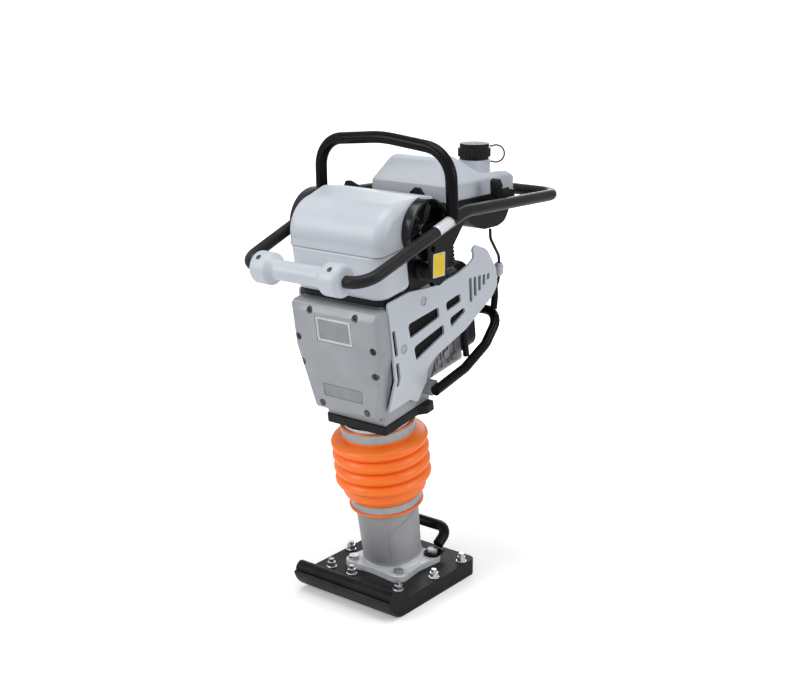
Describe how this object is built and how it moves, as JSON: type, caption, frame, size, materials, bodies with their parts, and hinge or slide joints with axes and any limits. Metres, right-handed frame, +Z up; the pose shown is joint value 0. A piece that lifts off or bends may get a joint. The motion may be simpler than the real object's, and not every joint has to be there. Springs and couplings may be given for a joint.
{
  "type": "trench rammer",
  "caption": "Upright petrol trench rammer: crank-driven spring ram with bellows and sprung shoe, shrouded engine, handle loop on rubber mounts with tank, lifting hoop and guide roller.",
  "frame": {"origin": "on the sole, where the ram axis meets it", "axes": "+Z up; the machine faces -Y, and +X is its left side"},
  "size_m": [0.3739, 0.7095, 1.007],
  "materials": {
    "shoe": "satin black",
    "wear_steel": "scuffed dark steel",
    "zinc": "zinc plated",
    "leg_alloy": "painted silver casting",
    "case_alloy": "painted grey casting",
    "black_paint": "semi-gloss black",
    "steel": "ground",
    "spring_steel": "shot peened",
    "bronze": "machined",
    "lining": "friction lining",
    "bellows_rubber": "satin orange",
    "engine_alloy": "bare casting",
    "engine_black": "heatproof black",
    "black_plastic": "fine grained",
    "white_plastic": "satin cool white",
    "black_rubber": "matt",
    "rope": "braided",
    "filter_paper": "pleated paper"
  },
  "bodies": {
    "foot": {"wear_plate": "wear_steel", "shoe_core": "shoe", "shoe_bolts": "zinc", "leg_casting": "leg_alloy", "flange_bolts": "zinc", "carry_bar": "black_paint", "spring_cylinder": "steel", "cylinder_cap": "bronze", "lower_spring": "spring_steel", "upper_spring": "spring_steel", "bellows": "bellows_rubber", "lower_clamp": "zinc"},
    "machine": {"upper_clamp": "zinc", "guide_cylinder": "steel", "piston_rod": "steel", "base_plate": "black_paint", "crankcase": "case_alloy", "front_cover": "case_alloy", "cover_bolts": "zinc", "crank_bearing": "steel", "pinion_bearing": "steel", "engine_block": "engine_alloy", "cylinder_barrel": "engine_black", "cylinder_head": "engine_black", "spark_plug": "black_plastic", "carburettor": "engine_alloy", "intake_hose": "black_rubber", "muffler": "engine_black", "fan_housing": "black_plastic", "recoil_starter": "black_plastic", "starter_rope": "rope", "engine_guard": "black_paint", "guard_posts": "black_paint", "left_shroud": "white_plastic", "right_shroud": "white_plastic", "shroud_bolts": "zinc", "carrier_plate": "black_paint", "cleaner_tray": "white_plastic", "cleaner_cover": "white_plastic", "cleaner_caps": "black_plastic", "filter_element": "filter_paper", "rubber_mounts": "black_rubber", "mount_bolts": "zinc", "fuel_line": "black_rubber"},
    "crank": {"crank_gear": "steel"},
    "conrod": {"conrod": "steel", "wrist_pin": "steel"},
    "clutch": {"clutch_drum": "steel"},
    "rotor": {"engine_shaft": "steel", "clutch_shoes": "lining"},
    "choke": {"choke_lever": "black_plastic"},
    "pull_grip": {"starter_grip": "black_plastic"},
    "handle": {"handle_frame": "black_paint", "handle_brackets": "black_paint", "roller_shaft": "steel", "fuel_tank": "white_plastic", "tank_well": "black_plastic"},
    "roller": {"guide_roller": "white_plastic"},
    "cap": {"tank_cap": "black_plastic"},
    "throttle": {"throttle_lever": "black_plastic"}
  },
  "joints": [
    {"name": "ram_stroke", "type": "slide", "parent": "foot", "child": "machine", "axis": [0, -0.1564, 0.9877], "range_m": [-0.035, 0.045], "stiffness_N_per_m": 30000, "springref_m": 0.0155, "deforming": ["bellows", "lower_spring", "upper_spring"]},
    {"name": "crank_spin", "type": "hinge", "parent": "machine", "child": "crank", "pos_m": [0, -0.07884, 0.49779], "axis": [0, 0.9877, 0.1564], "continuous": true},
    {"name": "conrod_swing", "type": "hinge", "parent": "crank", "child": "conrod", "pos_m": [0, -0.07493, 0.4731], "axis": [0, 0.9877, 0.1564], "continuous": true},
    {"name": "clutch_spin", "type": "hinge", "parent": "machine", "child": "clutch", "pos_m": [0, -0.09151, 0.5778], "axis": [0, 0.9877, 0.1564], "continuous": true},
    {"name": "engine_spin", "type": "hinge", "parent": "machine", "child": "rotor", "pos_m": [0, -0.09151, 0.5778], "axis": [0, 0.9877, 0.1564], "continuous": true},
    {"name": "choke_swing", "type": "hinge", "parent": "machine", "child": "choke", "pos_m": [0.0989, 0.0778, 0.69776], "axis": [1, 0, 0], "range_deg": [-75, 0]},
    {"name": "starter_pull", "type": "slide", "parent": "machine", "child": "pull_grip", "axis": [0, 0.9877, 0.1564], "range_m": [0, 0.6], "stiffness_N_per_m": 12, "springref_m": -0.4, "deforming": ["starter_rope"]},
    {"name": "handle_sway", "type": "hinge", "parent": "machine", "child": "handle", "pos_m": [0, -0.06424, 0.73804], "axis": [1, 0, 0], "range_deg": [-3, 3], "stiffness_Nm_per_rad": 3000, "springref_deg": 0.34, "deforming": ["fuel_line"]},
    {"name": "roller_spin", "type": "hinge", "parent": "handle", "child": "roller", "pos_m": [0, -0.29624, 0.75504], "axis": [1, 0, 0], "continuous": true},
    {"name": "cap_turn", "type": "hinge", "parent": "handle", "child": "cap", "pos_m": [0.05, 0.21476, 0.93804], "axis": [0, 0, 1], "range_deg": [0, 120]},
    {"name": "throttle_swing", "type": "hinge", "parent": "handle", "child": "throttle", "pos_m": [0.1387, 0.17375, 0.86904], "axis": [1, 0, 0], "range_deg": [-55, 0]}
  ],
  "couplings": [
    {"joint": "conrod_swing", "follows": "crank_spin", "ratio": -1},
    {"joint": "clutch_spin", "follows": "crank_spin", "ratio": -5}
  ]
}
